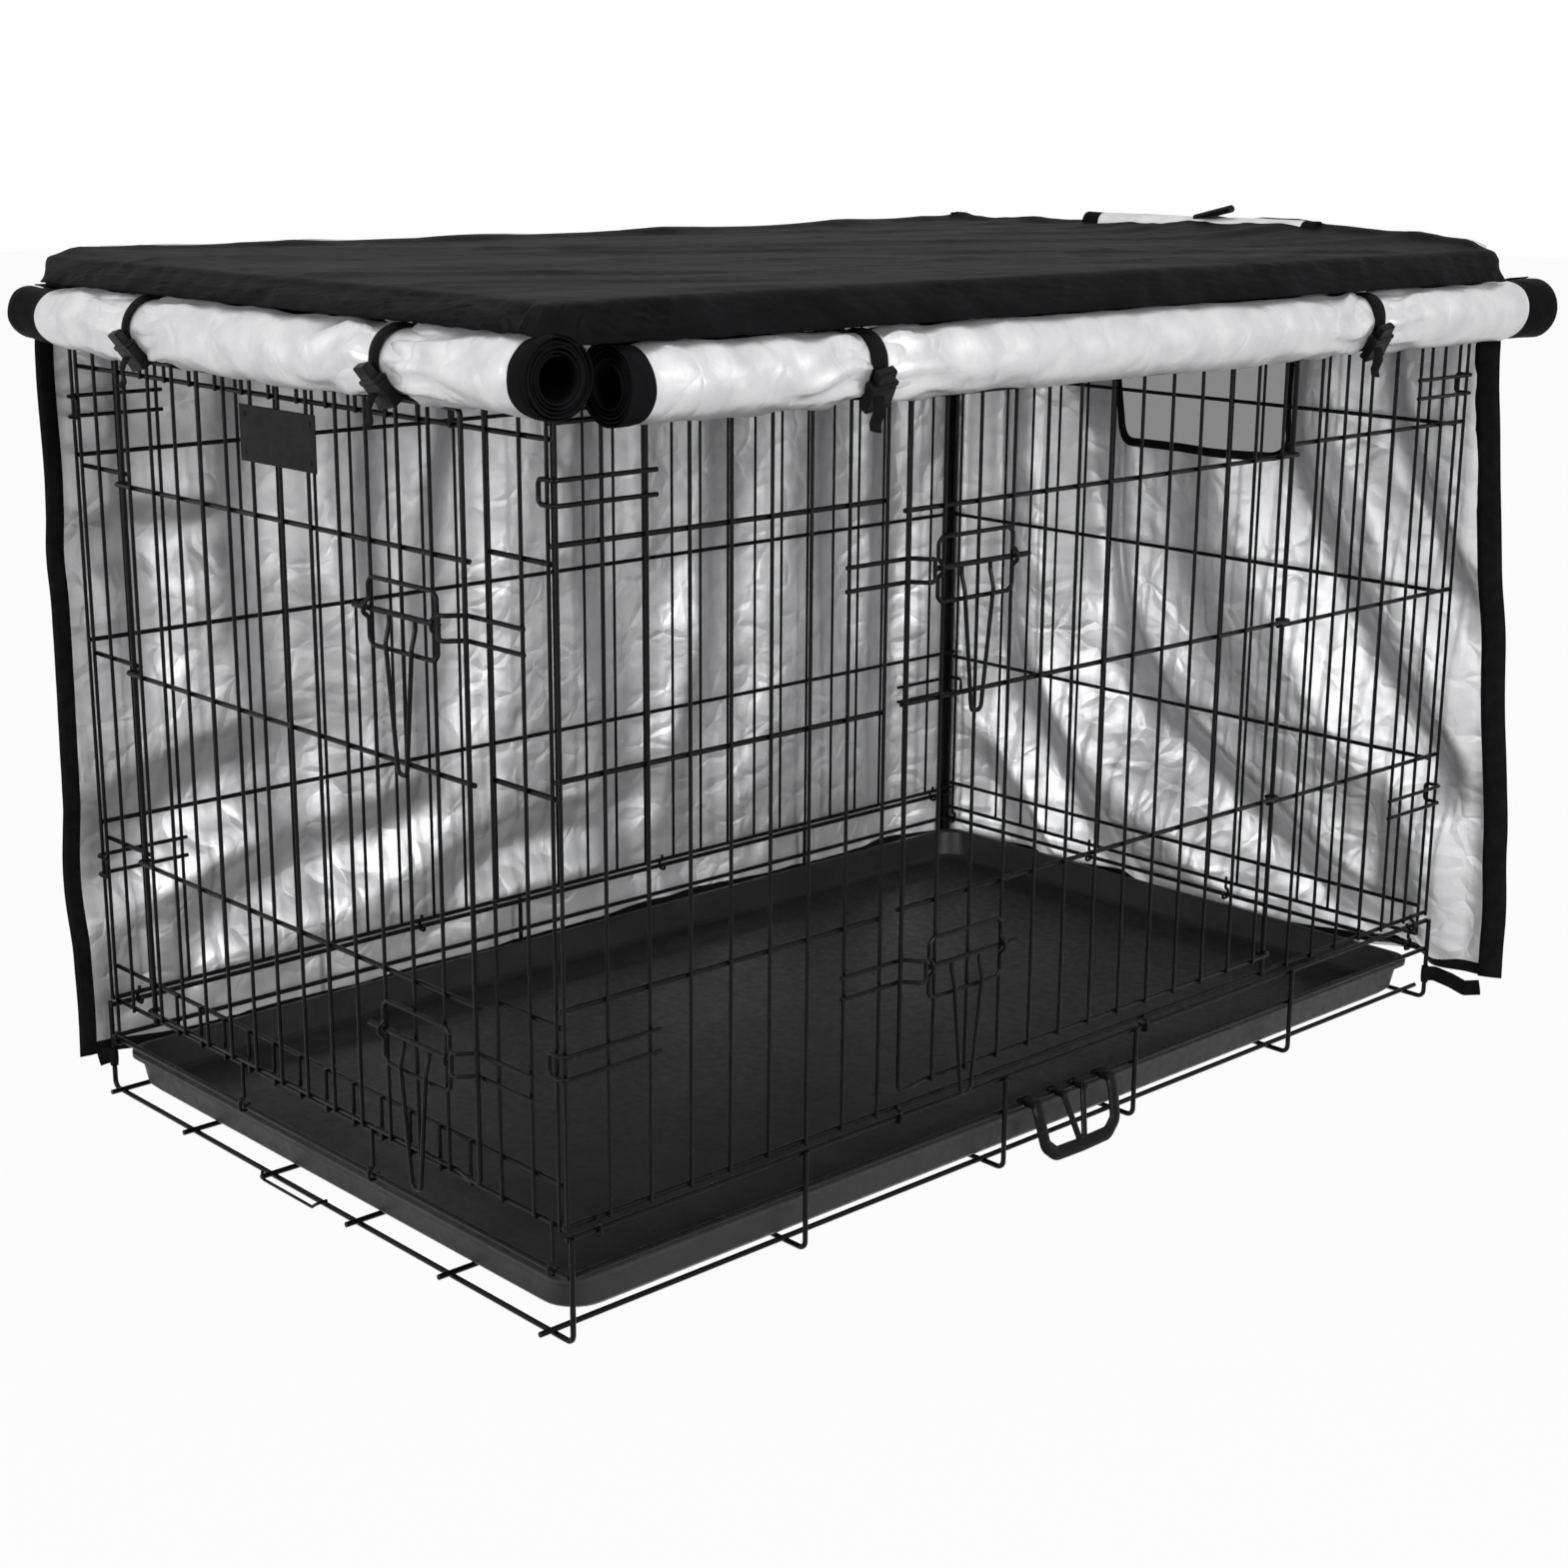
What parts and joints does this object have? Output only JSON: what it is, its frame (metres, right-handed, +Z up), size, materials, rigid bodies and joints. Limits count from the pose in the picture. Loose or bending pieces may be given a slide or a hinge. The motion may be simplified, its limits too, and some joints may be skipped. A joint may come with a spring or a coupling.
{
  "type": "wire dog crate",
  "caption": "Folding wire dog crate with front and side doors on slide bolts, a pull-out tray and a silver lined cloth cover rolled up on the door sides.",
  "frame": {"origin": "on the floor, under the middle of the whole object, its rolled flaps included", "axes": "+Z up, -Y out of the front doorway, +X out of the side doorway"},
  "size_m": [0.836, 1.355, 0.8634],
  "materials": {
    "black_wire": "satin black coated steel wire",
    "tray_plastic": "fine grained black plastic",
    "black_plastic": "smooth black plastic",
    "cover_cloth": "black woven polyester, silver coated lining",
    "silver_lining": "silver coated side of the polyester, crinkled",
    "window_mesh": "black open mesh",
    "strap_web": "black woven webbing"
  },
  "bodies": {
    "crate": {"base_floor_grid": "black_wire", "base_side_frame_left": "black_wire", "base_side_frame_right": "black_wire", "base_front_crossbar": "black_wire", "base_back_crossbar": "black_wire", "side_panel_right_latch_side": "black_wire", "side_panel_right_hinge_side": "black_wire", "side_panel_right_header": "black_wire", "side_panel_right_sill": "black_wire", "side_panel_left": "black_wire", "roof_panel": "black_wire", "side_receiver_upper": "black_wire", "side_receiver_lower": "black_wire", "cover_top": "cover_cloth", "cover_left_panel": "cover_cloth", "cover_back_panel": "cover_cloth", "front_roll": "silver_lining", "side_roll": "silver_lining", "window_roll": "silver_lining", "cover_window_mesh": "window_mesh", "front_roll_strap_1": "strap_web", "front_roll_strap_2": "strap_web", "side_roll_strap_1": "strap_web", "side_roll_strap_2": "strap_web", "corner_strap_back": "strap_web", "corner_strap_front": "strap_web", "front_roll_buckle_1": "black_plastic", "front_roll_buckle_2": "black_plastic", "side_roll_buckle_1": "black_plastic", "side_roll_buckle_2": "black_plastic", "window_toggle": "black_plastic"},
    "front_panel": {"front_panel_hinge_side": "black_wire", "front_panel_latch_side": "black_wire", "front_panel_header": "black_wire", "front_panel_sill": "black_wire", "front_receiver_upper": "black_wire", "front_receiver_lower": "black_wire"},
    "back_panel": {"back_panel": "black_wire"},
    "front_door": {"front_door": "black_wire", "front_keeper_upper": "black_wire", "front_keeper_lower": "black_wire", "name_plate": "black_plastic"},
    "side_door": {"side_door": "black_wire", "side_keeper_upper": "black_wire", "side_keeper_lower": "black_wire"},
    "front_bolt_upper": {"front_bolt_upper": "black_wire"},
    "front_bolt_lower": {"front_bolt_lower": "black_wire"},
    "side_bolt_upper": {"side_bolt_upper": "black_wire"},
    "side_bolt_lower": {"side_bolt_lower": "black_wire"},
    "tray": {"tray": "tray_plastic"},
    "pan_stop": {"pan_stop": "black_wire"},
    "carry_handle": {"carry_handle": "black_plastic"}
  },
  "joints": [
    {"name": "front_panel_fold", "type": "hinge", "parent": "crate", "child": "front_panel", "pos_m": [-0.023, -0.6035, 0.058], "axis": [1, 0, 0], "range_deg": [-88, 0]},
    {"name": "back_panel_fold", "type": "hinge", "parent": "crate", "child": "back_panel", "pos_m": [-0.023, 0.6155, 0.058], "axis": [-1, 0, 0], "range_deg": [-84, 0]},
    {"name": "front_door_swing", "type": "hinge", "parent": "front_panel", "child": "front_door", "pos_m": [-0.30288, -0.6035, 0.42], "axis": [0, 0, -1], "range_deg": [0, 150]},
    {"name": "side_door_swing", "type": "hinge", "parent": "crate", "child": "side_door", "pos_m": [0.343, 0.31075, 0.42], "axis": [0, 0, 1], "range_deg": [0, 150]},
    {"name": "front_bolt_upper_slide", "type": "slide", "parent": "front_door", "child": "front_bolt_upper", "axis": [1, 0, 0], "range_m": [0, 0.02]},
    {"name": "front_bolt_lower_slide", "type": "slide", "parent": "front_door", "child": "front_bolt_lower", "axis": [1, 0, 0], "range_m": [0, 0.02]},
    {"name": "side_bolt_upper_slide", "type": "slide", "parent": "side_door", "child": "side_bolt_upper", "axis": [0, -1, 0], "range_m": [0, 0.02]},
    {"name": "side_bolt_lower_slide", "type": "slide", "parent": "side_door", "child": "side_bolt_lower", "axis": [0, -1, 0], "range_m": [0, 0.02]},
    {"name": "tray_slide", "type": "slide", "parent": "crate", "child": "tray", "axis": [0, 1, 0], "range_m": [-0.9, 0]},
    {"name": "pan_stop_swing", "type": "hinge", "parent": "crate", "child": "pan_stop", "pos_m": [-0.0927, -0.6155, 0.0075], "axis": [0, -1, 0], "range_deg": [0, 30]},
    {"name": "carry_handle_swing", "type": "hinge", "parent": "crate", "child": "carry_handle", "pos_m": [0.343, -0.0005, 0.058], "axis": [0, -1, 0], "range_deg": [0, 95]}
  ]
}
